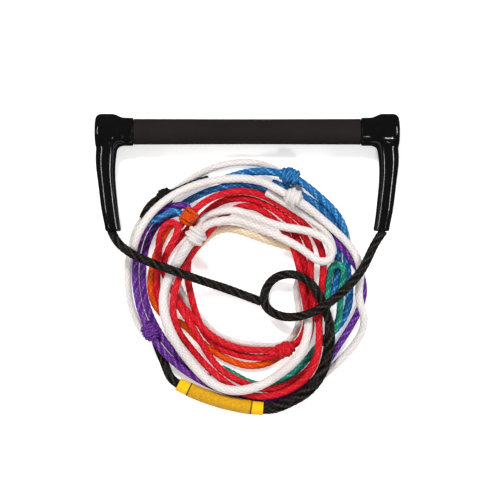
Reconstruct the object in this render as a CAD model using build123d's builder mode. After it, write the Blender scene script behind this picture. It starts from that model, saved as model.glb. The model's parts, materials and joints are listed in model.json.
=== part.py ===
"""Slalom water-ski tow rope and handle, lying flat with the rope coiled below the handle.

Frame: origin at the middle of the grip bar, +X along the bar, +Y away from the rope, +Z up.
The handle lies in the XY plane and rests on its two cap heads. Millimetres throughout.
"""
from build123d import *
from dataclasses import dataclass
import math
import os

import numpy as np

# ---------------------------------------------------------------- driving dimensions
HANDLE_WIDTH = 330.0        # over the two end caps
GRIP_LENGTH = 247.0         # grip sleeve, between the caps
GRIP_DIAMETER = 28.0
TUBE_DIAMETER = 22.0
TUBE_WALL = 1.5
HEAD_RADIUS = 19.5          # cap head around the bar axis; it rests on the ground
SOCKET_RADIUS = 15.3        # cap where it meets the grip
ARM_LENGTH = 108.0          # bar axis to the rope outlet
BRIDLE_ROPE = 9.5           # rope diameters
SPLICE_ROPE = 12.0
LINE_ROPE = 9.6
MAIN_ROPE = 7.4
WHITE_ROPE = 8.4
BLUE_ROPE = 8.4
SPLICED_WHITE_ROPE = 10.6
YELLOW_ROPE = 8.4
COIL_CENTRE = (-3.5, -168.5)
SLEEVE_RADIUS = 7.2         # label sleeve on the handle line
SLEEVE_WALL = 0.9
SLEEVE_LENGTH = 97.0
SLEEVE_TRAVEL = 5.0         # the sleeve can be pushed this far each way
SLEEVE_BEND = 240.0         # bend radius of the line inside the sleeve
LABEL_LENGTH = 72.0
LABEL_FILM = 0.35
BRIDLE_HINGE_Y = -206.0     # where the bridle folds up from the handle line

GROUND = -HEAD_RADIUS
PART_GAP = 0.1              # between fixed pieces that touch
ROPE_GAP = 0.5              # between strands that rest on each other
SAMPLE = 2.5                # spacing of the points that feel their neighbours
SECTION_STEP = 2            # a rope is lofted through every second point
SPANS_PER_LOFT = 12
HITCH_PITCH = 1.28          # spacing of a hitch's turns, in cord diameters
END_SAMPLES = 5             # points held at a rope's fixed end
END_FADE = 12.0             # the end is brought exactly to its height over this length
JOIN_GAP = 0.6              # between two lengths of one rope
OUTLET_GAP = 3.4            # between a bridle leg and the rope inside the cap
SELF_CLEAR = 40.0           # a rope meets itself only this far along
DRAPE_REACH = 60.0
EASE_SPREAD = 2             # in samples
SETTLE_ROUNDS = 40

HITCH_STEPS = 8             # points on each turn of a hitch
LIP_RADIUS = 1.5            # rounded rims of the grip

# the handle
CAP_END = HANDLE_WIDTH / 2
SOCKET_EDGE = GRIP_LENGTH / 2 + PART_GAP
TUBE_HALF = 136.0           # the tube ends inside the caps
FLANGE = 2.0                # bushing flange thickness
SPIGOT = 10.0               # bushing length inside the tube
SOCKET_END = TUBE_HALF + FLANGE + 0.3
CHANNEL_RADIUS = 5.2        # rope channel through caps and bushings
ROPE_CORNER = 16.0          # bend radius of the rope inside the cap
OUTLET_SPLAY = 0.16         # slope of the rope where it leaves the arm
HEAD_ROUND = 6.5            # corner radius of the head's outer end
SHOULDER_START = 147.5      # the head narrows to the socket between these, along the bar
SHOULDER_END = 132.7
SOCKET_LIP = 1.0
OUTLET_LIP = 2.0
ELBOW_FILLET = 6.0          # where the arm runs into the head
SEAM_LOW = -24.0            # the seam that gets that fillet lies between these y
SEAM_HIGH = -8.0
# arm sections from the head to the outlet: y, centre x, half width, half thickness
ARM_SECTIONS = [
    (-4.0, -151.5, 12.0, 16.0),
    (-18.0, -152.5, 11.6, 14.6),
    (-34.0, -153.7, 10.8, 13.2),
    (-54.0, -152.6, 9.7, 11.8),
    (-73.0, -150.6, 9.4, 11.0),
    (-88.0, -148.7, 9.1, 10.4),
    (-ARM_LENGTH, -145.4, 8.9, 9.6),
]

os.makedirs("parts", exist_ok=True)


def finish_part(part, label):
    """Name one finished piece and write it to its own file."""
    part.label = label
    export_step(part, "parts/" + label + ".step")


def unit(vector):
    return vector / np.linalg.norm(vector)


# ---------------------------------------------------------------- how a rope is laid
@dataclass
class Rope:
    """One length of rope, laid in one go.

    A station is (angle, distance) about the coil's centre, in degrees and mm, or (x, y) when
    plan is True; a third value is the level there. A higher level lies on top of a lower one.
    pieces lists (name, diameter, last station): the lengths it is made of, end to end.
    """
    pieces: list
    level: float
    stations: list
    bend: float = 45.0          # smallest bend radius where it climbs over another strand
    end_heights: tuple = (None, None)
    flat: tuple = None          # first and last station of a stretch that is kept level
    plan: bool = False

    def points(self):
        return [(s[0], s[1]) if self.plan else polar(s[0], s[1]) for s in self.stations]


def single(name, diameter, level, stations, **more):
    """A rope that is one piece from end to end."""
    return Rope([(name, diameter, len(stations) - 1)], level, stations, **more)


def polar(angle, distance):
    turn = math.radians(angle)
    return COIL_CENTRE[0] + distance * math.cos(turn), COIL_CENTRE[1] + distance * math.sin(turn)


class Course:
    """A rope's evenly spaced points: where they are, how thick it is there, and its level."""

    def __init__(self, rope, wraps):
        points = rope.points()
        curve = Spline(*points)
        count = SECTION_STEP * round(curve.length / SAMPLE / SECTION_STEP)
        fraction = np.arange(count + 1) / count
        self.rope = rope
        self.plan = np.array([(p.X, p.Y) for p in (curve.position_at(f) for f in fraction)])
        steps = [math.dist(a, b) for a, b in zip(points, points[1:])]
        reach = np.concatenate([[0.0], np.cumsum(steps)]) / sum(steps)
        self.at_station = SECTION_STEP * np.round(reach * count / SECTION_STEP).astype(int)
        self.along = fraction * curve.length
        levels = [s[2] if len(s) > 2 else rope.level for s in rope.stations]
        # a later turn of the same rope lies on its earlier one
        self.level = np.interp(fraction, reach, levels) + 0.1 * fraction
        self.radius = np.zeros(count + 1)
        first = 0
        for name, diameter, last_station in rope.pieces:
            last = self.at_station[last_station]
            self.radius[first:last + 1] = diameter / 2
            first = last
        for station, half_length, radius in wraps:
            near = np.abs(self.along - self.along[self.at_station[station]]) < half_length
            self.radius[near] = radius
        self.height = GROUND + self.radius

    def settle(self, lowest):
        """Drape the rope over the lowest heights that it may have."""
        if self.rope.flat:
            first, last = [self.at_station[s] for s in self.rope.flat]
            lowest[first:last + 1] = lowest[first:last + 1].max()
        start, end = self.rope.end_heights
        if start is not None:
            lowest[:END_SAMPLES] = np.maximum(lowest[:END_SAMPLES], start)
        if end is not None:
            lowest[-END_SAMPLES:] = np.maximum(lowest[-END_SAMPLES:], end)
        self.height = drape(lowest, self.rope.bend)
        if end is not None:
            from_end = self.along[-1] - self.along
            self.height += (end - self.height[-1]) * np.clip(1.0 - from_end / END_FADE, 0.0, 1.0)

    def space(self):
        return np.column_stack([self.plan, self.height])

    def sections(self, piece):
        """Where the circular sections of one piece are centred, and the way the rope runs there."""
        last_stations = [0] + [last for _, _, last in self.rope.pieces]
        first, last = [self.at_station[s] for s in last_stations[piece:piece + 2]]
        chosen = slice(first, last + 1, SECTION_STEP)
        points = self.space()[chosen]
        ahead = np.gradient(self.space(), axis=0)[chosen]
        if piece > 0:
            points[0] += JOIN_GAP * unit(ahead[0])
        return points, ahead


def drape(lowest, bend):
    """The lowest smooth line above the given heights, with crests of the given bend radius."""
    reach = int(DRAPE_REACH / SAMPLE)
    padded = np.pad(lowest, reach, mode="edge")
    shifts = range(-reach, reach + 1)
    crests = [padded[reach + k:reach + k + len(lowest)] - (k * SAMPLE) ** 2 / (2.0 * bend) for k in shifts]
    span = 3 * EASE_SPREAD
    kernel = np.exp(-0.5 * (np.arange(-span, span + 1) / EASE_SPREAD) ** 2)
    highest = np.pad(np.max(crests, axis=0), span, mode="edge")
    eased = np.convolve(highest, kernel / kernel.sum(), mode="valid")
    return eased + (EASE_SPREAD * SAMPLE) ** 2 / (2.0 * bend)


def lay(ropes, wraps):
    """Give every rope its heights, so that each rests on the ground or on the strands below it."""
    courses = [Course(rope, wraps.get(rope.pieces[0][0], [])) for rope in ropes]
    owner = np.concatenate([np.full(len(c.radius), n) for n, c in enumerate(courses)])
    plan, radius, level, along = [np.concatenate([getattr(c, what) for c in courses])
                                  for what in ("plan", "radius", "level", "along")]
    apart = np.hypot(*(plan[:, None, k] - plan[None, :, k] for k in (0, 1)))
    touch = radius[:, None] + radius[None, :] + ROPE_GAP
    separate = (owner[:, None] != owner[None, :]) | (np.abs(along[:, None] - along[None, :]) > SELF_CLEAR)
    upper, lower = np.nonzero((apart < touch) & separate & (level[:, None] > level[None, :]))
    step = np.sqrt(touch[upper, lower] ** 2 - apart[upper, lower] ** 2)
    for _ in range(SETTLE_ROUNDS):
        height = np.concatenate([c.height for c in courses])
        lowest = GROUND + radius
        np.maximum.at(lowest, upper, height[lower] + step)
        for number, course in enumerate(courses):
            course.settle(lowest[owner == number])
    return {course.rope.pieces[0][0]: course for course in courses}


def rope_piece(points, ahead, diameter, label):
    """A round rope through the points: short lofts of circles, joined end to end."""
    spans = len(points) - 1
    lofts = max(1, round(spans / SPANS_PER_LOFT))
    cuts = [round(spans * n / lofts) for n in range(lofts + 1)]
    with BuildPart() as rope:
        for first, last in zip(cuts, cuts[1:]):
            for n in range(first, last + 1):
                side = np.cross((0.0, 0.0, 1.0), ahead[n])
                with BuildSketch(Plane(origin=tuple(points[n]), x_dir=tuple(side), z_dir=tuple(ahead[n]))):
                    Circle(diameter / 2)
            loft()
    finish_part(rope.part, label)


# ---------------------------------------------------------------- the coiled mainline
yellow_section = single("yellow_section", YELLOW_ROPE, 0.0, [
    (142, 68), (130, 67), (118, 68), (106, 66.5), (95, 62), (84, 58), (72, 56.5), (60, 57.5),
    (50, 61), (42, 65.5), (35, 70)])
white_inner_section = single("white_inner_section", MAIN_ROPE, 0.2, [
    (17, 64), (9, 60.8), (1, 58), (-6, 57.5), (-15, 60.5), (-26, 67), (-38, 74), (-50, 77), (-62, 73.5),
    (-75, 66.5), (-90, 62), (-110, 60), (-130, 59), (-148, 58.5), (-160, 62), (-170, 67),
    (-180, 71.5), (-188, 77), (-196, 82)])
white_outer_section = single("white_outer_section", MAIN_ROPE, 0.5, [
    (60, 121), (70, 130), (80, 135), (91, 136.3), (102, 135), (112, 132.5), (122, 130.3), (132, 130.3),
    (142, 132.5), (150, 133.5), (157, 132), (165, 129.8), (175, 127.8), (186, 126), (196, 123.8), (204, 121)])
orange_section = single("orange_section", MAIN_ROPE, 1.4, [
    (136, 104), (146, 104), (156, 102.5), (166, 102.5), (176, 102.5), (186, 101.5), (194, 98),
    (201, 91.5), (207, 83), (213, 77.5), (220, 76), (230, 76.5), (240, 77.5), (250, 79.5), (260, 82.5),
    (270, 86), (280, 87.5), (291, 87), (302, 84)])
blue_return = single("blue_return", BLUE_ROPE, 1.5, [
    (75, 118), (66, 117), (56, 118), (46, 119.8), (37, 120.5), (29, 117), (21, 110), (13, 105.5),
    (5, 102), (-2, 98.5), (-9, 94), (-17, 90)])
blue_section = single("blue_section", BLUE_ROPE, 1.7, [
    (-38, 101), (-30, 107), (-22, 112), (-14, 115.5), (-6, 116), (2, 114.5), (10, 114.5), (18, 118),
    (25, 123), (32, 127), (41, 128.3), (52, 128), (67, 130.5), (77, 128.5), (87, 125.5), (96, 121.5),
    (103, 118.5)])
blue_inner_section = single("blue_inner_section", MAIN_ROPE, 1.85, [
    (70, 109), (79, 108.3), (88, 110), (98, 111), (108, 111.5), (118, 111.5), (127, 112), (134, 112.5)])
purple_return = single("purple_return", MAIN_ROPE, 1.8, [
    (131, 107.5), (135, 111.5), (141, 115.5), (149, 117.2), (159, 115.3), (169, 112.7),
    (180, 110.3), (191, 108), (203, 105.5), (215, 104.8), (227, 105.5), (239, 106.5), (250, 106.5)])
purple_section = single("purple_section", MAIN_ROPE, 2.0, [
    (34, 107), (27, 111.5), (20, 116), (12, 123), (4, 129.5), (-4, 131), (-11, 128.5),
    (-20, 124.5), (-30, 121.8), (-39, 122), (-48, 125), (-59, 128.5), (-70, 128.8), (-81, 125.5),
    (-91, 120.5), (-101, 116), (-113, 113), (-126, 112), (-140, 112.5), (-154, 113), (-167, 115),
    (-180, 118), (-193, 121.5), (-206, 124.3), (-216, 124), (-224, 121), (-230, 115.5), (-234, 109)])
blue_eye = single("blue_eye", MAIN_ROPE, 2.4, [
    (135, 114), (139, 116.5), (143, 120.5), (146, 125), (148, 129)])
green_section = single("green_section", MAIN_ROPE, 2.5, [
    (254, 92.5), (261, 95), (268, 100.5), (275, 106.5), (284, 110.3), (293, 110.7), (303, 108), (312, 104.5),
    (321, 103),
    (330, 107), (339, 109.5), (348, 107), (356, 106), (364, 108.5), (369.5, 111), (373, 108.5),
    (374.3, 103.5), (373, 98.5), (369, 94.5), (362, 91.8), (353, 91), (345, 94)])
red_section = single("red_section", MAIN_ROPE, 3.0, [
    (137, 96), (128, 97), (118, 100.5), (108, 103), (97, 104.3), (87, 103.8), (78, 101.5), (69, 98),
    (59, 95), (47, 94.5), (34, 95), (22, 92.5), (10, 87.5), (0, 84.5), (-10, 84.5), (-20, 87),
    (-28, 92), (-35, 99), (-42, 107.5), (-49, 115), (-57, 120), (-67, 122.5), (-77, 122), (-86, 118.5),
    (-94, 113), (-102, 105), (-112, 97.5), (-123, 91.5), (-136, 87.5), (-151, 84.5), (-163, 80.5),
    (-173, 76.5), (-183, 72.5), (-194, 69.5), (-208, 67.5), (-222, 67.5), (-234, 70), (-244, 74.5),
    (-254, 80.5), (-263, 86), (-272, 88.5), (-281, 86.5), (-290, 82), (-300, 77.5), (-311, 73),
    (-322, 68.5), (-333, 65), (-345, 63), (-357, 63), (-367, 65.5), (-377, 70.5), (-387, 77),
    (-397, 82), (-408, 83.5), (-418, 81), (-428, 78)])
red_inner_section = single("red_inner_section", MAIN_ROPE, 2.6, [
    (150, 69.5), (159, 66), (168, 63.3), (176, 61), (184, 59.3), (192, 58.5), (200, 58.5), (208, 59.7),
    (217, 62), (227, 65.5), (237, 69), (248, 71.5), (259, 73.5), (270, 76), (281, 79), (291, 81.3)])
red_lower_section = single("red_lower_section", MAIN_ROPE, 2.2, [
    (54, 84), (43, 78.5), (32, 73.8), (22, 70.5), (12, 68.8), (2, 68.3), (-8, 70.3), (-17, 75.5),
    (-26, 82), (-35, 88), (-44, 92.5), (-54, 96)])
red_return = single("red_return", MAIN_ROPE, 2.8, [
    (-64, 76.5), (-74, 72), (-86, 69), (-98, 66.8), (-112, 64.8), (-127, 63.5), (-141, 63.5), (-153, 66),
    (-163, 70), (-172, 75), (-180, 81), (-188, 87.5), (-197, 92), (-208, 91), (-219, 88.3), (-231, 88),
    (-242, 91), (-252, 95.5), (-262, 97), (-272, 96.3), (-282, 93.5), (-292, 90), (-303, 87),
    (-315, 86.3), (-327, 84), (-338, 78.5), (-348, 74), (-358, 73), (-368, 76), (-377, 82),
    (-386, 90.5), (-394, 99), (-402, 107.5), (-411, 113.5), (-421, 116), (-431, 116.3), (-441, 112.5),
    (-450, 105), (-459, 98.5), (-469, 91), (-479, 82.5), (-489, 75.5), (-500, 71.3), (-512, 70.5),
    (-523, 73), (-533, 78)])
red_eye = single("red_eye", MAIN_ROPE, 3.6, [
    (198, 89.5), (192, 92.3), (185, 94.5), (175, 95.5), (166, 96.5), (158, 100), (151, 105), (145, 108),
    (140.5, 107.5), (137, 103), (137, 97), (140.5, 92.7), (147, 91), (156, 91)])
white_return = single("white_return", WHITE_ROPE, 5.8, [
    (77, 106), (69, 103), (60, 101.3), (51, 101.7), (43, 103.8), (35, 106.3), (27, 106.5), (20, 103)])
white_upper_section = single("white_upper_section", WHITE_ROPE, 6.0, [
    (164.5, 126.3), (157, 127.5), (149, 128.3), (140, 128), (131, 126.3), (122, 124),
    (112, 121.5), (101, 119.3), (91, 118.3), (82, 116.3), (75, 113.5), (68, 110.8), (60, 110), (51, 110.8),
    (43, 111.5), (36, 114), (29, 117.8), (22, 122.8), (15, 126.8), (8, 127.8), (1, 125.5), (-5, 125.5),
    (-9.5, 129), (-13, 134, 3.0), (-18, 137.5, 1.0), (-25, 137, 1.0), (-33, 134, 1.0), (-41, 131.5, 1.0),
    (-49, 130, 1.0)])
white_main_section = single("white_main_section", SPLICED_WHITE_ROPE, 6.5, [
    (126, 78), (133, 76.6), (140, 76), (147, 75.9), (157, 76.8), (166, 79.3), (175, 83), (185, 87),
    (195, 90), (205, 92), (215, 93.8), (225, 96.5), (235, 100.8), (244, 106), (252, 110.6), (259, 113.2),
    (267, 113), (274, 110.8), (282, 107.3), (291, 102.5), (300, 98.7), (309, 94.6), (317, 90),
    (325, 84.5), (332, 79.5), (339, 74)])
boat_loop = single("boat_loop", WHITE_ROPE, 7.0, [
    (116, 86.5), (108, 86.3), (99, 84.7), (90, 80.9), (80, 77), (70, 75.3), (61, 76.3), (53, 80.5),
    (45, 88), (37, 96.3), (31, 101.7), (25.5, 104.3), (20.5, 102.3), (17.3, 96.5), (17.5, 89), (21.5, 82.5),
    (28, 78), (36, 73.8), (45, 69.5), (55, 66.6), (65, 65.6), (75, 66.3), (85, 68.7), (95, 72.3), (104, 75.3),
    (112.5, 76.8)])


# ---------------------------------------------------------------- the handle line and bridle
def arc_through(start, end, bend, before, after, pitch=7.0):
    """Centre and plan points of an arc through start and end that begins before and ends after them."""
    chord = math.dist(start, end)
    rise = math.sqrt(bend ** 2 - (chord / 2) ** 2)
    across = ((end[0] - start[0]) / chord, (end[1] - start[1]) / chord)
    centre = ((start[0] + end[0]) / 2 - across[1] * rise, (start[1] + end[1]) / 2 + across[0] * rise)
    first, last = [math.atan2(p[1] - centre[1], p[0] - centre[0]) for p in (start, end)]
    first -= before / bend
    last += after / bend
    count = round((last - first) * bend / pitch)
    turns = [first + (last - first) * i / count for i in range(count + 1)]
    return centre, [(centre[0] + bend * math.cos(t), centre[1] + bend * math.sin(t)) for t in turns]


sleeve_ends = polar(235.5, 128), polar(278.3, 134)
bend_centre, sleeve_arc = arc_through(*sleeve_ends, SLEEVE_BEND, before=5.0, after=9.5)
under_coil = [polar(*s) + (0.3,) for s in [(203, 109), (210, 112.5), (217, 116.3), (224, 120.5)]]
sleeve_stretch = [p + ((0.3,) if i < 3 else (9.0,)) for i, p in enumerate(sleeve_arc)]
over_coil = [polar(*s) for s in [(292, 134.7), (299, 134), (305, 131), (310.5, 127), (316, 122),
                                 (321, 117), (326, 112), (330.5, 107.7)]]
hinge_point = (88.3, BRIDLE_HINGE_Y)
outlet = (145.4, -ARM_LENGTH)
ring = [(85.5, -195), (81.5, -185), (76.5, -175), (69.5, -165), (60, -157.5), (48, -154.3), (36.5, -155.6),
        (27, -161), (20.3, -170.5), (17.7, -181.6), (20, -190.5), (27, -196.5), (37, -200.5), (48, -201.3),
        (59.5, -199.7), (71.5, -195)]
right_leg = [(84.5, -187.8), (95.5, -180), (105.5, -171.5), (113.5, -163.5), (120.5, -155), (126.5, -146),
             (131, -137), (135.5, -127.5), (139.8, -119.5),
             (outlet[0] - 0.2, outlet[1] - OUTLET_GAP)]
first_arc = len(under_coil)
join_station = first_arc + len(sleeve_arc) // 2
hinge_station = first_arc + len(sleeve_arc) + len(over_coil) + 1
handle_rope = Rope(
    [("handle_line", LINE_ROPE, join_station), ("handle_splice", SPLICE_ROPE, hinge_station),
     ("right_bridle_leg", BRIDLE_ROPE, hinge_station + len(ring) + len(right_leg))],
    9.0, under_coil + sleeve_stretch + over_coil + [(88.6, -216), hinge_point] + ring + right_leg,
    bend=28.0, end_heights=(None, 0.0), flat=(first_arc, first_arc + len(sleeve_arc) - 1), plan=True)
left_leg = single("left_bridle_leg", BRIDLE_ROPE, 9.5, [
    (7.6, -182), (-3, -178), (-22, -171), (-44, -163.5), (-67, -155.3), (-89, -147.5), (-110, -139.8),
    (-127, -131), (-138, -122.5), (-143.6, -115.5), (-outlet[0] + 0.2, outlet[1] - OUTLET_GAP)],
    bend=28.0, end_heights=(None, 0.0), plan=True)
knot_tail = single("knot_tail", LINE_ROPE, 1.0, [
    (108, 123), (114, 124), (120, 125), (126, 126.5), (130.5, 130), (135, 134), (140.5, 135), (146, 132.5)])


# ---------------------------------------------------------------- hitches and knots
@dataclass
class Hitch:
    """Turns of cord wrapped round a rope at one of its stations."""
    name: str
    rope: Rope
    station: int
    cord: float
    turns: float
    rope_radius: float

    def coil_radius(self):
        return self.rope_radius + ROPE_GAP + self.cord / 2

    def wrap(self):
        """The room it needs on its rope: station, half length and radius."""
        half_length = (self.turns * HITCH_PITCH + 1.0) * self.cord / 2 + 1.0
        return self.station, half_length, self.coil_radius() + self.cord / 2


def hitch_on(name, rope, station, cord, turns):
    diameter = next(d for _, d, last in rope.pieces if station <= last)
    return Hitch(name, rope, station, cord, turns, diameter / 2)


ropes = [yellow_section, white_inner_section, white_outer_section, orange_section, blue_return,
         blue_section, blue_inner_section, purple_return, purple_section, blue_eye, green_section,
         red_section, red_inner_section, red_lower_section, red_return, red_eye,
         white_return, white_upper_section, white_main_section,
         boat_loop, handle_rope, left_leg, knot_tail]
hitches = [
    hitch_on("knot_wrap", knot_tail, 4, 4.0, 2.5),
    hitch_on("blue_hitch", blue_section, 12, 5.4, 2.5),
    hitch_on("purple_hitch", purple_section, 19, 4.8, 2.5),
    hitch_on("red_hitch", red_section, 54, 4.8, 2.8),
    hitch_on("orange_hitch", red_section, 1, 5.0, 2.5),
    hitch_on("white_upper_hitch", white_upper_section, 12, 5.4, 2.0),
    hitch_on("white_main_hitch", white_main_section, 1, 5.4, 2.0),
]


# ---------------------------------------------------------------- build
wraps = {rope.pieces[0][0]: [] for rope in ropes}
for hitch in hitches:
    wraps[hitch.rope.pieces[0][0]].append(hitch.wrap())
sleeve_reach = SLEEVE_LENGTH / 2 + SLEEVE_TRAVEL + 1.0
wraps["handle_line"].append((join_station, sleeve_reach, SLEEVE_RADIUS + PART_GAP + LABEL_FILM))
courses = lay(ropes, wraps)

for course in courses.values():
    for number, (name, diameter, _) in enumerate(course.rope.pieces):
        rope_piece(*course.sections(number), diameter, name)


def hitch_piece(hitch, course):
    """The cord of one hitch, wound as a helix that follows its rope."""
    middle = course.along[course.at_station[hitch.station]]
    space = course.space()
    points = []
    for step in range(round(hitch.turns * HITCH_STEPS) + 1):
        turned = step / HITCH_STEPS
        along = middle + (turned - hitch.turns / 2) * hitch.cord * HITCH_PITCH
        centre, ahead = [np.array([np.interp(along + more, course.along, space[:, k]) for k in range(3)])
                         for more in (0.0, 1.0)]
        forward = unit(ahead - centre)
        side = unit(np.cross((0.0, 0.0, 1.0), forward))
        up = np.cross(forward, side)
        angle = 2.0 * math.pi * turned
        points.append(centre + hitch.coil_radius() * (side * math.cos(angle) + up * math.sin(angle)))
    with BuildPart() as cord:
        with BuildLine() as winding:
            Spline(*[tuple(p) for p in points])
        with BuildSketch(Plane(winding.line @ 0, z_dir=winding.line % 0)):
            Circle(hitch.cord / 2)
        sweep(path=winding.line, is_frenet=True)
    finish_part(cord.part, hitch.name)


for hitch in hitches:
    hitch_piece(hitch, courses[hitch.rope.pieces[0][0]])

# ---------------------------------------------------------------- label sleeve on the handle line
sleeve_height = float(courses["handle_line"].height[courses["handle_line"].at_station[join_station]])
sleeve_mid = courses["handle_line"].plan[courses["handle_line"].at_station[join_station]]
bend_axis = Axis((bend_centre[0], bend_centre[1], sleeve_height), (0, 0, 1))
mid_turn = math.degrees(math.atan2(sleeve_mid[1] - bend_centre[1], sleeve_mid[0] - bend_centre[0]))


def bent_tube(outer, inner, length):
    """A tube of the given radii, bent round the sleeve's bend centre and centred on the sleeve."""
    sweep_angle = math.degrees(length / SLEEVE_BEND)
    start = Plane(origin=bend_axis.position, x_dir=(1, 0, 0), z_dir=(0, 0, 1)).rotated(
        (0, 0, mid_turn - sweep_angle / 2))
    section = Plane(origin=start.origin, x_dir=start.x_dir, z_dir=-start.y_dir)
    with BuildPart() as tube:
        with BuildSketch(section):
            with Locations((SLEEVE_BEND, 0)):
                Circle(outer)
                Circle(inner, mode=Mode.SUBTRACT)
        revolve(axis=bend_axis, revolution_arc=sweep_angle)
    return tube.part


finish_part(bent_tube(SLEEVE_RADIUS, SLEEVE_RADIUS - SLEEVE_WALL, SLEEVE_LENGTH), "label_sleeve")
FILM_BORE = SLEEVE_RADIUS + PART_GAP
finish_part(bent_tube(FILM_BORE + LABEL_FILM, FILM_BORE, LABEL_LENGTH), "label_wrap")

# ---------------------------------------------------------------- the handle
with BuildPart() as handle_tube:
    with BuildSketch(Plane.YZ.offset(-TUBE_HALF)):
        Circle(TUBE_DIAMETER / 2)
        Circle(TUBE_DIAMETER / 2 - TUBE_WALL, mode=Mode.SUBTRACT)
    extrude(amount=2 * TUBE_HALF)
finish_part(handle_tube.part, "handle_tube")

with BuildPart() as grip_sleeve:
    with BuildSketch(Plane.YZ.offset(-GRIP_LENGTH / 2)):
        Circle(GRIP_DIAMETER / 2)
    extrude(amount=GRIP_LENGTH)
    fillet(grip_sleeve.edges().filter_by(GeomType.CIRCLE), LIP_RADIUS)
    with BuildSketch(Plane.YZ.offset(-GRIP_LENGTH / 2)):
        Circle(TUBE_DIAMETER / 2 + PART_GAP)
    extrude(amount=GRIP_LENGTH, mode=Mode.SUBTRACT)
finish_part(grip_sleeve.part, "grip_sleeve")

with BuildPart() as flotation_foam:
    with BuildSketch(Plane.YZ.offset(-(TUBE_HALF - SPIGOT - 1.0))):
        Circle(TUBE_DIAMETER / 2 - TUBE_WALL - PART_GAP)
        Circle(CHANNEL_RADIUS, mode=Mode.SUBTRACT)
    extrude(amount=2 * (TUBE_HALF - SPIGOT - 1.0))
finish_part(flotation_foam.part, "flotation_foam")


def rope_path_in_handle(reach_out):
    """The bridle rope's way through one cap; it runs reach_out beyond the outlet."""
    corner_x = -(TUBE_HALF + FLANGE)
    turn_start = (corner_x - ROPE_CORNER, -ROPE_CORNER)
    arm = [(x, y) for y, x, _, _ in reversed(ARM_SECTIONS[3:-1])]
    last = (-outlet[0] + reach_out * OUTLET_SPLAY, outlet[1] - reach_out)
    course = Spline(last, *arm, turn_start, tangents=[(-OUTLET_SPLAY, 1.0), (0.0, 1.0)])
    turn = TangentArc(turn_start, (corner_x, 0.0), tangent=(0.0, 1.0))
    return course + turn


with BuildPart() as bridle_rope_core:
    with BuildLine() as core_path:
        rope_path_in_handle(0.0)
        Line((-(TUBE_HALF + FLANGE), 0), (0, 0))
        mirror(about=Plane.YZ)
    with BuildSketch(Plane(origin=(0, 0, 0), x_dir=(0, 1, 0), z_dir=(1, 0, 0))):
        Circle(BRIDLE_ROPE / 2)
    sweep(path=core_path.wire())
finish_part(bridle_rope_core.part, "bridle_rope_core")


def end_cap(side, label):
    """The moulded elbow at one end of the bar: a round head that turns into a tapered arm."""
    with BuildPart() as head:
        with BuildSketch(Plane.XY):
            with BuildLine():
                Line((-CAP_END, 0), (-CAP_END, HEAD_RADIUS - HEAD_ROUND))
                rim = RadiusArc((-CAP_END, HEAD_RADIUS - HEAD_ROUND),
                                (-CAP_END + HEAD_ROUND, HEAD_RADIUS), HEAD_ROUND)
                crown = Line(rim @ 1, (-SHOULDER_START, HEAD_RADIUS))
                shoulder = Spline(crown @ 1, (-SHOULDER_END, SOCKET_RADIUS), tangents=[(1, 0), (1, 0)])
                Polyline(shoulder @ 1, (-SOCKET_EDGE, SOCKET_RADIUS), (-SOCKET_EDGE, 0), (-CAP_END, 0))
            make_face()
        revolve(axis=Axis.X)
        fillet(head.edges().group_by(Axis.X)[-1], SOCKET_LIP)
    with BuildPart() as arm:
        for y, x, half_width, half_thickness in ARM_SECTIONS:
            with BuildSketch(Plane(origin=(x, y, 0), x_dir=(1, 0, 0), z_dir=(0, -1, 0))):
                Ellipse(half_width, half_thickness)
        loft()
        fillet(arm.edges().group_by(Axis.Y)[0], OUTLET_LIP)
    elbow = head.part + arm.part
    curved = [e for e in elbow.edges() if e.geom_type == GeomType.BSPLINE]
    seam = [e for e in curved if SEAM_LOW < e.center().Y < SEAM_HIGH]
    with BuildPart() as cap:
        add(elbow.fillet(ELBOW_FILLET, seam))
        with BuildSketch(Plane.YZ.offset(-SOCKET_END)):
            Circle(TUBE_DIAMETER / 2 + PART_GAP)
        extrude(amount=SOCKET_END, mode=Mode.SUBTRACT)
        with BuildLine() as channel:
            rope_path_in_handle(2.0)
        with BuildSketch(Plane(channel.line @ 0, z_dir=channel.line % 0)):
            Circle(CHANNEL_RADIUS)
        sweep(path=channel.wire(), mode=Mode.SUBTRACT)
    cap_part = cap.part if side < 0 else mirror(cap.part, about=Plane.YZ)
    finish_part(cap_part, label)


end_cap(-1, "left_end_cap")
end_cap(1, "right_end_cap")


def bushing(side, label):
    """Nylon bushing in the tube's end: a flange over the cut edge and a spigot inside."""
    with BuildPart() as ring:
        with BuildSketch(Plane.YZ.offset(-(TUBE_HALF + PART_GAP))):
            Circle(TUBE_DIAMETER / 2)
        extrude(amount=-(FLANGE - PART_GAP))
        with BuildSketch(Plane.YZ.offset(-(TUBE_HALF + PART_GAP))):
            Circle(TUBE_DIAMETER / 2 - TUBE_WALL - PART_GAP)
        extrude(amount=SPIGOT)
        with BuildSketch(Plane.YZ.offset(-(TUBE_HALF + FLANGE))):
            Circle(CHANNEL_RADIUS)
        extrude(amount=FLANGE + SPIGOT, mode=Mode.SUBTRACT)
    finish_part(ring.part if side < 0 else mirror(ring.part, about=Plane.YZ), label)


bushing(-1, "left_bushing")
bushing(1, "right_bushing")
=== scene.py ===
import json
import math

import bmesh
import bpy
import numpy as np
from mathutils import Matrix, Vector
from mathutils.bvhtree import BVHTree
from mathutils.kdtree import KDTree


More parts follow.
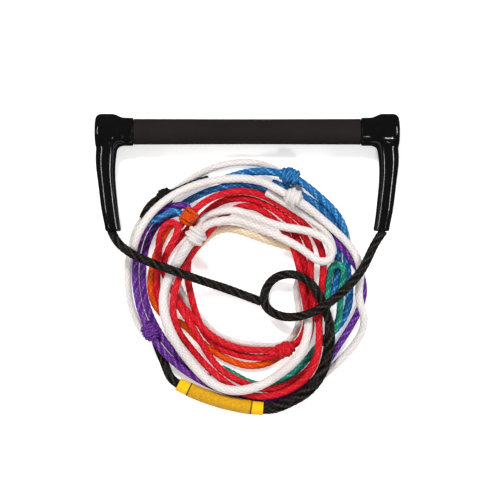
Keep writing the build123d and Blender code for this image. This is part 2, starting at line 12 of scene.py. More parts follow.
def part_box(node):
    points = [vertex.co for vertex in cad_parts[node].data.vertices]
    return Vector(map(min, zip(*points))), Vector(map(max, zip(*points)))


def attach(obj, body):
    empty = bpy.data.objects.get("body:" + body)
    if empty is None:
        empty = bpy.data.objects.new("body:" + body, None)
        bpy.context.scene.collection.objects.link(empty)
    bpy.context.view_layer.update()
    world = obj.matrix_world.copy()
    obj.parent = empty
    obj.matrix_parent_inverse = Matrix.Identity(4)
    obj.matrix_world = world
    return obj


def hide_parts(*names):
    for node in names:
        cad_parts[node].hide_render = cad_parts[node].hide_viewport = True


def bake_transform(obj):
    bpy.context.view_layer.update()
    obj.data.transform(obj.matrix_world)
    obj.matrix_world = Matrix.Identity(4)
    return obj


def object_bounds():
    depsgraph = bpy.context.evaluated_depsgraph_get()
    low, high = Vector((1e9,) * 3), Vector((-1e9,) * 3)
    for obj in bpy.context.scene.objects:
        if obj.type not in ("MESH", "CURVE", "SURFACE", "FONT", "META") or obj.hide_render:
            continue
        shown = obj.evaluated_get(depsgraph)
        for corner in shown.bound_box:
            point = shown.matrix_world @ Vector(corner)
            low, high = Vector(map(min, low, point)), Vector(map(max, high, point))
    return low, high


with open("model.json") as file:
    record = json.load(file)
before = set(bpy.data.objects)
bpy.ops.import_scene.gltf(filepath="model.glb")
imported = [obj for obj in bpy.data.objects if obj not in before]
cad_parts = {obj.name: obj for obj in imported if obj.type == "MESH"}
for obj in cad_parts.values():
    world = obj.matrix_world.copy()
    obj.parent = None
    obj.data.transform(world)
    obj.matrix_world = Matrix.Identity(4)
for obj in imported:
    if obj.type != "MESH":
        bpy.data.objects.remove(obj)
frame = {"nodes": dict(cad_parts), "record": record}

bounds_at_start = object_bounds()

MM = 0.001
BRAID_ANGLE = math.radians(33)  # between a yarn and the rope's run
THICK_ROPE = 4.5 * MM           # ropes of this radius and more have more yarns
AROUND = 48                     # points around a rope
RING_STEP = 0.75 * MM
YARN_DEPTH = 0.17               # groove between yarns, in rope radii
YARN_LIFT = 0.055               # how far a yarn rises where it passes over, in rope radii
SWELL = 0.2 * MM                # rope surface outside its CAD solid, so that strands touch
THIN_ROPE_YARNS = 6             # yarns that run each way round a thin rope
THICK_ROPE_YARNS = 8
END_ROUNDING = 1.6 * MM
RAYS_PER_ROPE = 5000            # rays shot through a CAD rope to find its middle
TUCK_REACH = 24 * MM            # a rope end this near a hitch is led into it
TUCK_SHARE = 0.7                # how much of the way to the hitch's middle it goes
LOOP_TUCK_SHARE = 0.8           # the same for the boat loop's two ends
OUTLET_STRETCH = 22 * MM        # of each bridle leg at the outlet, made a piece of its own; the real rope bends there when the handle folds
LEG_INTO_RING = 8.5 * MM        # the left leg is led this much further, into the ring
LEG_INTO_CAP = 4.8 * MM         # both legs are led this much further, into the caps
JOIN_GAP = 0.3 * MM             # closes the gap between two pieces of one rope
GROUND = bounds_at_start[0][2]


# ---------------------------------------------------------------- reading a CAD rope's course
def unit(vector):
    return vector / np.linalg.norm(vector)


def unit_rows(rows):
    return rows / np.linalg.norm(rows, axis=1)[:, None]


def triangles_of(node):
    """Corner positions of a CAD node's triangles, in the row frame."""
    shown = frame["nodes"][node]
    mesh = shown.data
    mesh.calc_loop_triangles()
    points = np.array([shown.matrix_world @ v.co for v in mesh.vertices])
    corners = np.array([t.vertices[:] for t in mesh.loop_triangles])
    return points, corners


def core_of(points, corners):
    """Points along the middle of a rope, halfway through it on rays shot straight in, and its radius."""
    tree = BVHTree.FromPolygons(points.tolist(), corners.tolist())
    middles = []
    widths = []
    stride = max(1, len(corners) // RAYS_PER_ROPE)
    for a, b, c in points[corners[::stride]]:
        normal = np.cross(b - a, c - a)
        if np.linalg.norm(normal) < 1e-14:
            continue
        normal = unit(normal)
        longest = max(np.linalg.norm(b - a), np.linalg.norm(c - b), np.linalg.norm(a - c))
        count = max(1, math.ceil(longest / (3 * MM)))
        for i in range(count):
            start = a + (b - a) * (i + 0.4) / count + (c - a) * 0.3 / count
            hit, _, _, depth = tree.ray_cast(Vector(start - normal * 1e-6), Vector(-normal))
            if hit is not None:
                middles.append(start - normal * depth / 2)
                widths.append(depth)
    width = float(np.median(widths))
    kept = [m for m, w in zip(middles, widths) if abs(w - width) < 0.06 * width]
    return np.array(kept), width / 2


def walk(tree, start, heading, radius):
    """Follows the middle points from start, one short step at a time, until they end."""
    step = 0.6 * radius
    line = [start]
    while True:
        guess = line[-1] + heading * step
        near = [np.array(co) for co, _, _ in tree.find_range(Vector(guess), 0.7 * radius)]
        if not near:
            return line
        here = np.mean(near, axis=0)
        moved = here - line[-1]
        if moved @ heading < 0.25 * step:
            return line
        heading = unit(0.5 * heading + 0.5 * unit(moved))
        line.append(here)


def course_of(node):
    """A CAD rope's centre line, evenly spaced, and its radius."""
    points, corners = triangles_of(node)
    middles, radius = core_of(points, corners)
    tree = KDTree(len(middles))
    for number, point in enumerate(middles):
        tree.insert(Vector(point), number)
    tree.balance()
    start = middles[0]
    near = np.array([co[:] for co, _, _ in tree.find_range(Vector(start), 2 * radius)])
    heading = np.linalg.svd(near - near.mean(axis=0))[2][0]
    forward = walk(tree, start, heading, radius)
    backward = walk(tree, start, -heading, radius)
    line = np.array(backward[::-1] + forward[1:])
    for end, inner in ((0, 2), (-1, -3)):
        outward = unit(line[end] - line[inner])
        beyond = points - line[end]
        ahead = beyond @ outward
        close = np.linalg.norm(beyond, axis=1) < 2.2 * radius
        line[end] = line[end] + outward * max(0.0, ahead[close].max())
    return even_spacing(smooth(line, 2), RING_STEP), radius


def smooth(line, spread):
    """Runs a small bell-shaped average along the line and keeps its ends."""
    width = 3 * spread
    bell = np.exp(-0.5 * (np.arange(-width, width + 1) / spread) ** 2)
    bell /= bell.sum()
    before = 2 * line[0] - line[width:0:-1]
    after = 2 * line[-1] - line[-2:-width - 2:-1]
    if len(before) < width or len(after) < width:
        return line
    padded = np.vstack([before, line, after])
    return np.column_stack([np.convolve(padded[:, k], bell, mode="valid") for k in range(3)])


def even_spacing(line, step):
    along = np.concatenate([[0.0], np.cumsum(np.linalg.norm(np.diff(line, axis=0), axis=1))])
    count = max(4, round(along[-1] / step))
    even = np.linspace(0.0, along[-1], count + 1)
    return np.column_stack([np.interp(even, along, line[:, k]) for k in range(3)])


# ---------------------------------------------------------------- growing a braid along it
def carried_frames(line):
    """Tangent, side and up at each point, carried along without twist."""
    ahead = np.gradient(line, axis=0)
    ahead /= np.linalg.norm(ahead, axis=1)[:, None]
    side = np.empty_like(line)
    first = np.cross((0.0, 0.0, 1.0), ahead[0])
    side[0] = unit(first) if np.linalg.norm(first) > 0.1 else unit(np.cross((0.0, 1.0, 0.0), ahead[0]))
    for n in range(1, len(line)):
        carried = side[n - 1] - ahead[n] * (side[n - 1] @ ahead[n])
        side[n] = unit(carried)
    return ahead, side, np.cross(ahead, side)


def braid_surface(along, turn, radius):
    """Height of a braid's surface in rope radii (0 at the tops), with what its material needs.

    That is how far across its yarn a point lies, how high the yarn floats there and a random weight of its
    own for each crossing, which scales the painted highlight on the yarn's crown.
    """
    pitch = 2 * math.pi * radius / math.tan(BRAID_ANGLE)
    yarns = THICK_ROPE_YARNS if radius > THICK_ROPE else THIN_ROPE_YARNS
    right = yarns * (turn + along / pitch)
    left = yarns * (turn - along / pitch)
    layers = []
    for own, other, sign in ((right, left, 1.0), (left, right, -1.0)):
        across = 2.0 * (own - np.floor(own)) - 1.0
        crown = YARN_DEPTH * (np.sqrt(np.clip(1.0 - (0.93 * across) ** 2, 0.0, 1.0)) - 1.0)
        weave = sign * np.sin(math.pi * other) * np.where(np.floor(own) % 2 == 0, 1.0, -1.0)
        # a random weight per crossing, which scales the painted highlight on the yarn's crown
        tone = np.sin(np.floor(own) * 12.9898 + np.floor(other) * 78.233 + sign) * 0.5 + 0.5
        layers.append((crown + YARN_LIFT * (weave - 1.0), across, 0.5 + 0.5 * weave, tone))
    on_top = layers[0][0] >= layers[1][0]
    return [np.where(on_top, a, b) for a, b in zip(*layers)]


def grid_mesh(name, points, closed_ends=True):
    """A tube mesh through rings of points (ring, around, xyz)."""
    rings, around, _ = points.shape
    index = np.arange(rings * around).reshape(rings, around)
    right = np.roll(index, -1, axis=1)
    quads = np.stack([index[:-1], right[:-1], right[1:], index[1:]], axis=-1).reshape(-1, 4)
    vertices = points.reshape(-1, 3)
    faces = quads.tolist()
    if closed_ends:
        ends = [points[0].mean(axis=0), points[-1].mean(axis=0)]
        vertices = np.vstack([vertices, ends])
        low, high = len(vertices) - 2, len(vertices) - 1
        faces += [(int(right[0, k]), int(index[0, k]), low) for k in range(around)]
        faces += [(int(index[-1, k]), int(right[-1, k]), high) for k in range(around)]
    mesh = bpy.data.meshes.new(name)
    mesh.from_pydata(vertices.tolist(), [], faces)
    mesh.shade_smooth()
    made = bpy.data.objects.new(name, mesh)
    bpy.context.scene.collection.objects.link(made)
    return made


def store(made, name, values):
    """Saves one number per vertex for the material; cap centres repeat the last value."""
    attribute = made.data.attributes.new(name, "FLOAT", "POINT")
    caps = np.full(len(made.data.vertices) - values.size, values.ravel()[-1])
    padded = np.concatenate([values.ravel(), caps])
    attribute.data.foreach_set("value", padded.astype(np.float32))


class Braid:
    """The rings of a braided rope along a line, ready to be made into one or more pieces."""

    def __init__(self, line, radius, profile=None, round_start=True, round_end=True):
        _, side, up = carried_frames(line)
        steps = np.linalg.norm(np.diff(line, axis=0), axis=1)
        along = np.concatenate([[0.0], np.cumsum(steps)])
        turn = np.arange(AROUND) / AROUND
        along_grid, turn_grid = np.meshgrid(along, turn, indexing="ij")
        height, self.across, self.rise, self.tone = braid_surface(along_grid, turn_grid, radius)
        uneven = 1.0 + 0.018 * np.sin(along / (17 * MM)) + 0.012 * np.sin(along / (6.3 * MM) + 1.3)
        if profile is not None:
            uneven = uneven * np.interp(along / along[-1], *profile)
        outer = (radius + SWELL) * uneven[:, None] * (1.0 + height)
        from_start = along / END_ROUNDING
        from_end = (along[-1] - along) / END_ROUNDING
        for distance, rounded in ((from_start, round_start), (from_end, round_end)):
            if rounded:
                near = np.clip(distance, 0.0, 1.0)
                outer = outer * (0.45 + 0.55 * np.sqrt(1.0 - (1.0 - near) ** 2))[:, None]
        angle = 2 * math.pi * turn[None, :, None]
        spoke = side[:, None, :] * np.cos(angle) + up[:, None, :] * np.sin(angle)
        self.rings = line[:, None, :] + outer[:, :, None] * spoke

    def piece(self, name, first=0, last=None):
        """The rings from first to last as one object."""
        part = slice(first, last)
        made = grid_mesh(name, self.rings[part])
        for what in ("across", "rise", "tone"):
            store(made, what, getattr(self, what)[part])
        return made


# ---------------------------------------------------------------- materials
class Shader:
    """A small helper that adds nodes to one material."""

    def __init__(self, name, colour, roughness):
        self.material = bpy.data.materials.new(name)
        self.material.use_nodes = True
        self.tree = self.material.node_tree
        self.surface = self.tree.nodes["Principled BSDF"]
        self.surface.inputs["Base Color"].default_value = (*colour, 1.0)
        self.surface.inputs["Roughness"].default_value = roughness

    def node(self, kind, **inputs):
        made = self.tree.nodes.new(kind)
        for key, value in inputs.items():
            self.feed(made, key.replace("_", " "), value)
        return made

    def feed(self, node, socket, value):
        """Sets an input to a number or colour, or links it to another node's output."""
        target = node.inputs[int(socket)] if socket.isdigit() else node.inputs[socket]
        if isinstance(value, bpy.types.NodeSocket):
            self.tree.links.new(value, target)
        else:
            target.default_value = value

    def maths(self, operation, first, second=0.0):
        made = self.tree.nodes.new("ShaderNodeMath")
        made.operation = operation
        self.feed(made, "0", first)
        self.feed(made, "1", second)
        return made.outputs[0]

    def blend(self, amount, first, second, mode="MIX"):
        made = self.tree.nodes.new("ShaderNodeMixRGB")
        made.blend_type = mode
        self.feed(made, "0", amount)
        self.feed(made, "1", first)
        self.feed(made, "2", second)
        return made.outputs[0]

    def attribute(self, name):
        made = self.tree.nodes.new("ShaderNodeAttribute")
        made.attribute_name = name
        return made.outputs["Fac"]

    def noise(self, scale, detail=3.0):
        where = self.tree.nodes.new("ShaderNodeTexCoord").outputs["Object"]
        made = self.node("ShaderNodeTexNoise", Vector=where, Scale=scale, Detail=detail)
        return made.outputs[0]

    def bump(self, height, distance, strength=1.0):
        made = self.node("ShaderNodeBump", Height=height, Distance=distance, Strength=strength)
        self.tree.links.new(made.outputs[0], self.surface.inputs["Normal"])

    def colour(self, value):
        self.feed(self.surface, "Base Color", value)


def rope_material(name, light, colour, groove_shade_and_dark_dye, roughness, gloss):
    """Braided plastic yarn: painted shade in the grooves, a painted highlight on the crown where a yarn
    floats, fine filaments, uneven dye.
    """
    shader = Shader(name, colour, roughness)
    # painted shade: each yarn's colour darkens toward its edges and where it passes under, down to the
    # groove colour
    edge = shader.maths("POWER", shader.maths("ABSOLUTE", shader.attribute("across")), 1.5)
    rise = shader.attribute("rise")
    crest = shader.maths("MULTIPLY", shader.maths("SUBTRACT", 1.0, edge),
                         shader.maths("ADD", 0.3, shader.maths("MULTIPLY", rise, 0.7)))
    body = shader.blend(shader.maths("MULTIPLY", crest, 1.45), (*groove_shade_and_dark_dye, 1.0), (*colour, 1.0))
    # painted highlight: the yarn's crown is lifted toward the lit colour, more at some crossings than at
    # others
    bright = shader.maths("MULTIPLY", shader.maths("POWER", crest, 2.4), 1.5)
    glint = shader.maths("MULTIPLY", bright, shader.attribute("tone"))
    lit = shader.blend(glint, body, (*light, 1.0))
    patchy = shader.blend(shader.maths("MULTIPLY", shader.noise(55.0), 0.25), lit, (*groove_shade_and_dark_dye, 1.0))
    shader.colour(patchy)
    filament = shader.maths("SINE", shader.maths("MULTIPLY", shader.attribute("across"), 22.0))
    fuzz = shader.maths("MULTIPLY", shader.noise(2600.0), 0.7)
    shader.bump(shader.maths("ADD", filament, fuzz), 0.07 * MM, 0.8)
    shader.feed(shader.surface, "Specular IOR Level", gloss)
    return shader.material


# for each slot: colour of the painted highlight on a lit crown, of the yarn and of the painted shade in the
# grooves, then roughness and gloss
ROPE_LOOKS = {
    "black_rope": ((0.060, 0.052, 0.046), (0.0022, 0.0020, 0.0018), (0.0003, 0.0003, 0.0003), 0.28, 0.15),
    "white_rope": ((0.90, 0.86, 0.84), (0.82, 0.765, 0.74), (0.56, 0.49, 0.47), 0.6, 0.15),
    "red_rope": ((0.94, 0.035, 0.060), (0.70, 0.003, 0.010), (0.15, 0.0005, 0.002), 0.34, 0.3),
    "orange_rope": ((0.98, 0.18, 0.01), (0.82, 0.055, 0.002), (0.32, 0.010, 0.001), 0.34, 0.3),
    "yellow_rope": ((0.90, 0.82, 0.68), (0.82, 0.70, 0.52), (0.64, 0.38, 0.10), 0.6, 0.15),
    "green_rope": ((0.10, 0.66, 0.50), (0.001, 0.27, 0.18), (0.001, 0.025, 0.02), 0.3, 0.35),
    "blue_rope": ((0.11, 0.50, 0.92), (0.004, 0.115, 0.42), (0.001, 0.008, 0.06), 0.3, 0.35),
    "purple_rope": ((0.38, 0.13, 0.64), (0.085, 0.010, 0.23), (0.008, 0.001, 0.03), 0.32, 0.3),
}
rope_materials = {slot: rope_material(slot + "_braid", *look) for slot, look in ROPE_LOOKS.items()}


def dress(made, material):
    made.data.materials.clear()
    made.data.materials.append(material)


# ---------------------------------------------------------------- ropes
bodies = frame["record"]["behaviour"]["bodies"]
slot_of = {entry["node"]: entry["material_slot"] for entry in frame["record"]["subparts"]}
body_of_node = {node: body for body, nodes in bodies.items() for node in nodes}
joints = {joint["name"]: joint for joint in frame["record"]["behaviour"]["joints"]}
rope_nodes = [node for node, slot in slot_of.items() if slot in ROPE_LOOKS]

courses = {node: course_of(node) for node in rope_nodes}


def grow(node, name=None, first=0, last=None, braid=None):
    """Replaces a CAD rope by its braid, or by some of the braid's rings."""
    made = (braid or Braid(*courses[node])).piece(name or "braid_" + node, first, last)
    dress(made, rope_materials[slot_of[node]])
    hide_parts(node)
    return made


def reach(line, at_start=0.0, at_end=0.0):
    """The line made longer at its ends."""
    first = line[0] + unit(line[0] - line[4]) * at_start
    last = line[-1] + unit(line[-1] - line[-5]) * at_end
    return even_spacing(np.vstack([first, line[1:-1], last]), RING_STEP)


def ending_at(line, place):
    """The line, turned round if need be so that its last point is the one nearer the place."""
    flipped = np.linalg.norm(line[0] - place) < np.linalg.norm(line[-1] - place)
    return line[::-1] if flipped else line


def joint_place(name):
    return np.array(joints[name]["pos_m"])


def middle_of(node):
    low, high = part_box(node)
    return (np.array(low) + np.array(high)) / 2


def run_into(line, place, share=1.0):
    """The line with its last end led on towards a place that hides it."""
    end = line[-1]
    ahead = unit(line[-1] - line[-6])
    target = end + (np.array(place) - end) * share
    span = np.linalg.norm(target - end)
    t = np.linspace(0.0, 1.0, 12)[1:, None]
    bulge = end + ahead * span * 0.45
    added = (1 - t) ** 2 * end + 2 * t * (1 - t) * bulge + t ** 2 * target
    return even_spacing(np.vstack([line, added]), RING_STEP)


def doubled(line, radius):
    """A hitch's cord as two thinner strands side by side that reach as far out, their ends turned in."""
    centre = line.mean(axis=0)
    steps = np.diff(line, axis=0)
    axis = unit(np.cross(steps[:-1], steps[1:]).sum(axis=0))
    lengthwise = ((line - centre) @ axis)[:, None] * axis
    around = line - centre - lengthwise
    bends = np.einsum("ij,ij->i", unit_rows(around[:-1]), unit_rows(around[1:]))
    turns = np.arccos(np.clip(bends, -1.0, 1.0)).sum() / (2 * math.pi)
    pitch = np.ptp((line - centre) @ axis) / turns
    thin = min(radius, 0.27 * pitch + SWELL)
    widened = around * (1.0 + (radius - thin) / np.linalg.norm(around, axis=1).mean())
    share = np.linspace(0.0, 1.0, len(line))
    widened *= np.interp(share, (0.0, 0.12, 0.88, 1.0), (0.5, 1.0, 1.0, 0.5))[:, None]
    return [centre + lengthwise + widened, centre + lengthwise - widened], thin


def tucked(line):
    """The line with each end that stops near a hitch led on into it."""
    for _ in range(2):
        nearest = min(hitch_middles, key=lambda place: np.linalg.norm(place - line[-1]))
        if np.linalg.norm(nearest - line[-1]) < TUCK_REACH:
            line = run_into(line, nearest, TUCK_SHARE)
        line = line[::-1]
    return line


hitches = [node for node in rope_nodes if node.endswith("_hitch") or node == "knot_wrap"]
hitch_middles = [middle_of(node) for node in hitches]
special = {"handle_splice", "left_bridle_leg", "right_bridle_leg", "boat_loop", "white_main_section"}
for node in hitches:
    strands, thin = doubled(*courses[node])
    for number, strand in enumerate(strands):
        braid = Braid(even_spacing(strand, RING_STEP / 2), thin)
        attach(grow(node, name=f"{node}_strand{number}", braid=braid), "coil")
for node in rope_nodes:
    if node not in special and node not in hitches:
        line, radius = courses[node]
        braid = Braid(tucked(line) if body_of_node[node] == "coil" else line, radius)
        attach(grow(node, braid=braid), body_of_node[node])

hinge = joint_place("bridle_lift")
fold = joint_place("handle_fold")
cap_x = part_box("right_end_cap")[1][0]

# the spliced line narrows to the bridle rope where the two meet
line, radius = courses["handle_splice"]
line = ending_at(line, hinge)
neck = courses["right_bridle_leg"][1] / radius
taper = ((0.0, 0.9, 1.0), (1.0, 1.0, neck))
splice = Braid(reach(line, at_end=0.4 * MM), radius, profile=taper, round_end=False)
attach(grow("handle_splice", braid=splice), "coil")

# each bridle leg is cut in two at the outlet stretch; only the left leg's longer piece is attached to the
# bridle
for node, side in (("left_bridle_leg", -1), ("right_bridle_leg", 1)):
    line, radius = courses[node]
    line = ending_at(line, np.array([side * cap_x, fold[1], 0.0]))
    line = reach(line, at_start=LEG_INTO_RING if side < 0 else JOIN_GAP, at_end=LEG_INTO_CAP)
    braid = Braid(line, radius, round_start=False, round_end=False)
    split = len(line) - int(OUTLET_STRETCH / RING_STEP)
    leg = grow(node, last=split + 1, braid=braid)
    if side > 0:
        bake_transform(leg)
    else:
        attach(leg, "bridle")
    stub = grow(node, name="outlet_" + node, first=split, braid=braid)
    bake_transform(stub)

# both strands of the boat loop come out of the hitch
line, radius = courses["boat_loop"]
loop_base = joint_place("loop_lift")
knot = middle_of("white_main_hitch")
line = run_into(line, knot, LOOP_TUCK_SHARE)
line = run_into(line[::-1], knot, LOOP_TUCK_SHARE)
loop = grow("boat_loop", braid=Braid(line, radius))
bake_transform(loop)

# the boat end of the mainline is thickest at its seizing
line, radius = courses["white_main_section"]
line = ending_at(line, loop_base)[::-1]
thick_end = ((0.0, 0.3, 1.0), (1.1, 1.0, 0.86))
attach(grow("white_main_section", braid=Braid(line, radius, profile=thick_end)), "coil")

# ---------------------------------------------------------------- the handle
CAP_VOXEL = 0.7 * MM
CAP_SMOOTHING = 12              # rounds


def moulding(node, voxel, rounds):
    """A CAD piece as one even mesh with its creases softened."""
    source = frame["nodes"][node]
    made = bpy.data.objects.new("moulded_" + node, source.data.copy())
    made.data.transform(source.matrix_world)
    bpy.context.scene.collection.objects.link(made)
    remesh = made.modifiers.new("remesh", "REMESH")
    remesh.mode = "VOXEL"
    remesh.voxel_size = voxel
    smoothing = made.modifiers.new("smooth", "SMOOTH")
    smoothing.factor = 0.5
    smoothing.iterations = rounds
    ready = made.evaluated_get(bpy.context.evaluated_depsgraph_get())
    made.data = bpy.data.meshes.new_from_object(ready)
    made.modifiers.clear()
    made.data.shade_smooth()
    return made


gloss = Shader("gloss_black", (0.004, 0.004, 0.0042), 0.12)
ripple = gloss.maths("ADD", gloss.noise(90.0), gloss.maths("MULTIPLY", gloss.noise(900.0), 0.15))
gloss.bump(ripple, 0.25 * MM, 0.35)
gloss.feed(gloss.surface, "Coat Weight", 0.5)
gloss.feed(gloss.surface, "Coat Roughness", 0.05)
worn = gloss.node("ShaderNodeMapRange", **{"Value": gloss.noise(60.0), "To_Min": 0.09, "To_Max": 0.2})
gloss.feed(gloss.surface, "Roughness", worn.outputs[0])
for node in ("left_end_cap", "right_end_cap"):
    cap = moulding(node, CAP_VOXEL, CAP_SMOOTHING)
    dress(cap, gloss.material)
    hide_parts(node)
    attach(cap, "handle")


def turned(name, outline, around, ripple_height=None):
    """A closed ring of material about the X axis: outline is (x, radius) points, back to the first one."""
    angle = 2 * math.pi * np.arange(around) / around
    x = np.array([p[0] for p in outline])[:, None]
    r = np.array([p[1] for p in outline])[:, None]
    if ripple_height is not None:
        r = r + ripple_height(x, angle[None, :], r)
    points = np.stack([x + 0 * r, r * np.cos(angle), r * np.sin(angle)], axis=-1)
    made = grid_mesh(name, points, closed_ends=False)
    tidy = bmesh.new()
    tidy.from_mesh(made.data)
    bmesh.ops.remove_doubles(tidy, verts=tidy.verts, dist=1e-7)
    bmesh.ops.recalc_face_normals(tidy, faces=tidy.faces)
    tidy.to_mesh(made.data)
    tidy.free()
    made.data.shade_smooth()
    return made


GRIP_LIP = 1.4 * MM
GRIP_STEP = 0.7 * MM
GRIP_RIB = 0.55 * MM            # along the bar, for one radian of the ribs' wave
GRIP_RIB_DEPTH = 0.11 * MM
GRIP_WAIST = 0.25 * MM          # how much thinner the grip is at its middle
low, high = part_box("grip_sleeve")
grip_radius = (high[1] - low[1]) / 2
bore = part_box("handle_tube")[1][1] + 0.05 * MM
lip = [(low[0] + GRIP_LIP * (1 - math.cos(t)), grip_radius - GRIP_LIP * (1 - math.sin(t)))
       for t in np.linspace(0, math.pi / 2, 5)]
barrel = [(x, grip_radius) for x in np.arange(low[0] + GRIP_LIP + GRIP_STEP, high[0] - GRIP_LIP, GRIP_STEP)]
far_lip = [(-x, r) for x, r in reversed(lip)]
grip_outline = [(low[0], bore)] + lip + barrel + far_lip + [(high[0], bore), (0.0, bore), (low[0], bore)]


def grip_texture(x, angle, r):
    """Fine crossed ribs over the middle of the grip, with plain bands at its ends."""
    ribs = np.sin(x / GRIP_RIB + 24 * angle) * np.sin(x / GRIP_RIB - 24 * angle)
    plain = np.clip((high[0] - 5 * MM - np.abs(x)) / (2 * MM), 0.0, 1.0)
    waist = -GRIP_WAIST * (1 + np.cos(2 * math.pi * x / (high[0] - low[0]))) / 2
    outside = r > grip_radius - 0.1 * MM
    return np.where(outside, GRIP_RIB_DEPTH * (ribs - 1.0) * plain + waist, 0.0)


grip = turned("textured_grip", grip_outline, 160, grip_texture)
rubber = Shader("grip_rubber", (0.016, 0.013, 0.013), 0.7)
rubber.feed(rubber.surface, "Specular IOR Level", 0.25)
rubber.bump(rubber.noise(1500.0), 0.10 * MM, 0.8)
dust = rubber.maths("MULTIPLY", rubber.noise(30.0), 0.6)
rubber.colour(rubber.blend(dust, (0.011, 0.008, 0.008, 1.0), (0.024, 0.018, 0.018, 1.0)))
dress(grip, rubber.material)
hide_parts("grip_sleeve")
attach(grip, "handle")

# pieces hidden inside the handle keep their CAD shape
metal = Shader("drawn_aluminium", (0.75, 0.76, 0.78), 0.3)
metal.feed(metal.surface, "Metallic", 1.0)
metal.bump(metal.noise(700.0), 0.03 * MM, 0.5)
nylon = Shader("nylon", (0.80, 0.78, 0.72), 0.45)
nylon.bump(nylon.noise(400.0), 0.05 * MM, 0.5)
foam = Shader("closed_cell_foam", (0.82, 0.82, 0.78), 0.85)
foam.bump(foam.node("ShaderNodeTexVoronoi", Scale=900.0).outputs[0], 0.3 * MM, 0.8)
for node, shader in (("handle_tube", metal), ("left_bushing", nylon), ("right_bushing", nylon),
                     ("flotation_foam", foam)):
    kept = frame["nodes"][node]
    kept.data.materials.clear()
    kept.data.materials.append(shader.material)

# ---------------------------------------------------------------- label sleeve
AROUND_TUBE = 96
SLEEVE_WALL = 0.9 * MM
FILM_WALL = 0.3 * MM
CRUMPLE = 0.10 * MM
bend_centre = joint_place("sleeve_slide")


def bent_extent(node):
    """First and last angle about the bend centre, bend radius, height and outer radius of a bent tube."""
    points, _ = triangles_of(node)
    from_centre = points[:, :2] - bend_centre[:2]
    angles = np.arctan2(from_centre[:, 1], from_centre[:, 0])
    away = np.linalg.norm(from_centre, axis=1)
    return angles.min(), angles.max(), (away.min() + away.max()) / 2, points[:, 2].mean(), np.ptp(away) / 2


def bent_tube(name, extent, outline, dents=0.0):
    """A tube round the bend centre. outline gives (share of the length, radius) back to its first point."""
    first, last, bend, height, _ = extent
    share = np.array([p[0] for p in outline])
    radius = np.array([p[1] for p in outline])
    around = 2 * math.pi * np.arange(AROUND_TUBE) / AROUND_TUBE
    swing = first + (last - first) * share[:, None]
    crumple = dents * (np.sin(swing * 95 + 2 * np.sin(around)) * np.sin(3 * around + swing * 40)
                       + 0.6 * np.sin(swing * 260 + 3 * around))
    out = radius[:, None] + crumple
    away = bend + out * np.cos(around)
    points = np.stack([bend_centre[0] + away * np.cos(swing), bend_centre[1] + away * np.sin(swing),
                       height + out * np.sin(around)], axis=-1)
    made = grid_mesh(name, points, closed_ends=False)
    store(made, "share", np.repeat(share, AROUND_TUBE))
    return made


def hollow_outline(outer, inner, rings, rounding):
    """Outside, rounded ends and inside of a tube, as (share of length, radius)."""
    shares = np.linspace(rounding, 1 - rounding, rings)
    outside = [(s, outer) for s in shares]
    middle = (outer + inner) / 2
    near_end = [(1 - rounding * 0.3, outer - 0.12 * MM), (1.0, middle), (1 - rounding * 0.3, inner)]
    inside = [(s, inner) for s in shares[::-8]]
    start_end = [(rounding * 0.3, inner), (0.0, middle), (rounding * 0.3, outer - 0.12 * MM)]
    ring = outside + near_end + inside + start_end
    return ring + [ring[0]]


sleeve_extent = bent_extent("label_sleeve")
film_extent = bent_extent("label_wrap")
sleeve_outer = sleeve_extent[4]
sleeve = bent_tube("vinyl_sleeve", sleeve_extent,
                   hollow_outline(sleeve_outer, sleeve_outer - SLEEVE_WALL, 130, 0.008), CRUMPLE)
vinyl = Shader("yellow_vinyl", (0.90, 0.49, 0.006), 0.38)
vinyl.bump(vinyl.noise(260.0), 0.2 * MM, 0.5)
vinyl.colour(vinyl.blend(vinyl.maths("MULTIPLY", vinyl.noise(70.0), 0.7), (0.93, 0.56, 0.002, 1.0),
                         (0.80, 0.40, 0.002, 1.0)))
dress(sleeve, vinyl.material)
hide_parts("label_sleeve")
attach(sleeve, "label")

film = bent_tube("label_film", film_extent,
                 hollow_outline(film_extent[4], film_extent[4] - FILM_WALL, 90, 0.01), CRUMPLE)
print_shader = Shader("printed_film", (0.62, 0.36, 0.02), 0.42)
share = print_shader.attribute("share")
mottle = print_shader.blend(print_shader.noise(420.0, 6.0),
                            (0.86, 0.47, 0.005, 1.0), (0.34, 0.15, 0.004, 1.0))
from_middle = print_shader.maths("ABSOLUTE", print_shader.maths("SUBTRACT", share, 0.5))
border = print_shader.maths("GREATER_THAN", from_middle, 0.482)
print_shader.colour(print_shader.blend(border, mottle, (0.03, 0.02, 0.01, 1.0)))
print_shader.bump(print_shader.noise(900.0), 0.05 * MM, 0.6)
dress(film, print_shader.material)
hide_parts("label_wrap")
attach(film, "label")

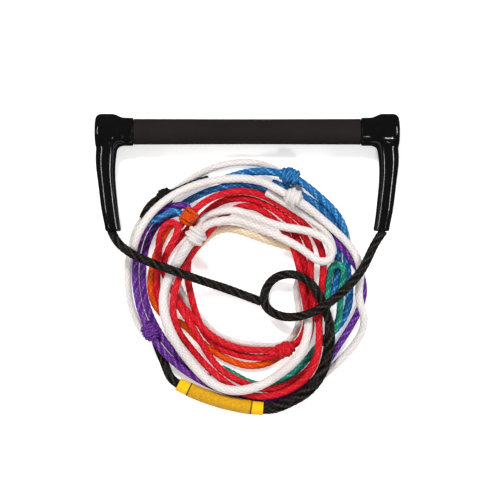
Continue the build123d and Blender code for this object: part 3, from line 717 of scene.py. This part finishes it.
# ---------------------------------------------------------------- studio
floor_mesh = bpy.data.meshes.new("floor")
half = 3.0
corners = [(-half, -half, GROUND), (half, -half, GROUND), (half, half, GROUND), (-half, half, GROUND)]
floor_mesh.from_pydata(corners, [], [(0, 1, 2, 3)])
floor = bpy.data.objects.new("floor", floor_mesh)
bpy.context.scene.collection.objects.link(floor)
floor_shader = Shader("floor", (0.90, 0.895, 0.89), 0.9)
floor_shader.feed(floor_shader.surface, "Emission Color", (1.0, 0.995, 0.99, 1.0))
floor_shader.feed(floor_shader.surface, "Emission Strength", 0.42)
floor.data.materials.append(floor_shader.material)
floor.visible_glossy = False


def softbox(name, place, size, power, mirrored=True):
    """A rectangular light aimed at the middle of the object; shiny surfaces may or may not mirror it."""
    data = bpy.data.lights.new(name, "AREA")
    data.shape = "RECTANGLE"
    data.size, data.size_y = size
    data.energy = power
    lamp = bpy.data.objects.new(name, data)
    lamp.location = place
    aim = Vector((0.0, -0.14, 0.0)) - Vector(place)
    lamp.rotation_euler = aim.to_track_quat("-Z", "Y").to_euler()
    lamp.visible_glossy = mirrored
    bpy.context.scene.collection.objects.link(lamp)


softbox("key", (-0.35, 1.0, 1.6), (0.32, 0.32), 27.0, mirrored=False)
softbox("left_strip", (-1.15, 0.1, 0.6), (0.8, 0.07), 3.5)
softbox("right_strip", (1.15, 0.1, 0.6), (0.8, 0.07), 5.0)
softbox("front", (0.3, -1.3, 1.3), (0.22, 0.22), 9.0, mirrored=False)
softbox("spark", (0.3, -1.3, 1.3), (0.04, 0.04), 2.0)

# an even white surround that shiny surfaces do not mirror
world = bpy.data.worlds.new("studio")
world.use_nodes = True
surround = world.node_tree.nodes["Background"]
surround.inputs[0].default_value = (1.0, 1.0, 1.0, 1.0)
rays = world.node_tree.nodes.new("ShaderNodeLightPath")
level = world.node_tree.nodes.new("ShaderNodeMapRange")
level.inputs["To Min"].default_value = 0.38
level.inputs["To Max"].default_value = 0.02
world.node_tree.links.new(rays.outputs["Is Glossy Ray"], level.inputs["Value"])
world.node_tree.links.new(level.outputs[0], surround.inputs["Strength"])
bpy.context.scene.world = world
bpy.context.scene.view_settings.view_transform = "Standard"

camera_data = bpy.data.cameras.new("camera")
camera = bpy.data.objects.new("camera", camera_data)
bpy.context.scene.collection.objects.link(camera)
CAMERA_HEIGHT = 2.2
VIEW_WIDTH = 0.543
camera.location = (0.003, -0.1284, CAMERA_HEIGHT)
camera_data.sensor_width = 36.0
camera_data.lens = 36.0 * CAMERA_HEIGHT / VIEW_WIDTH
bpy.context.scene.camera = camera
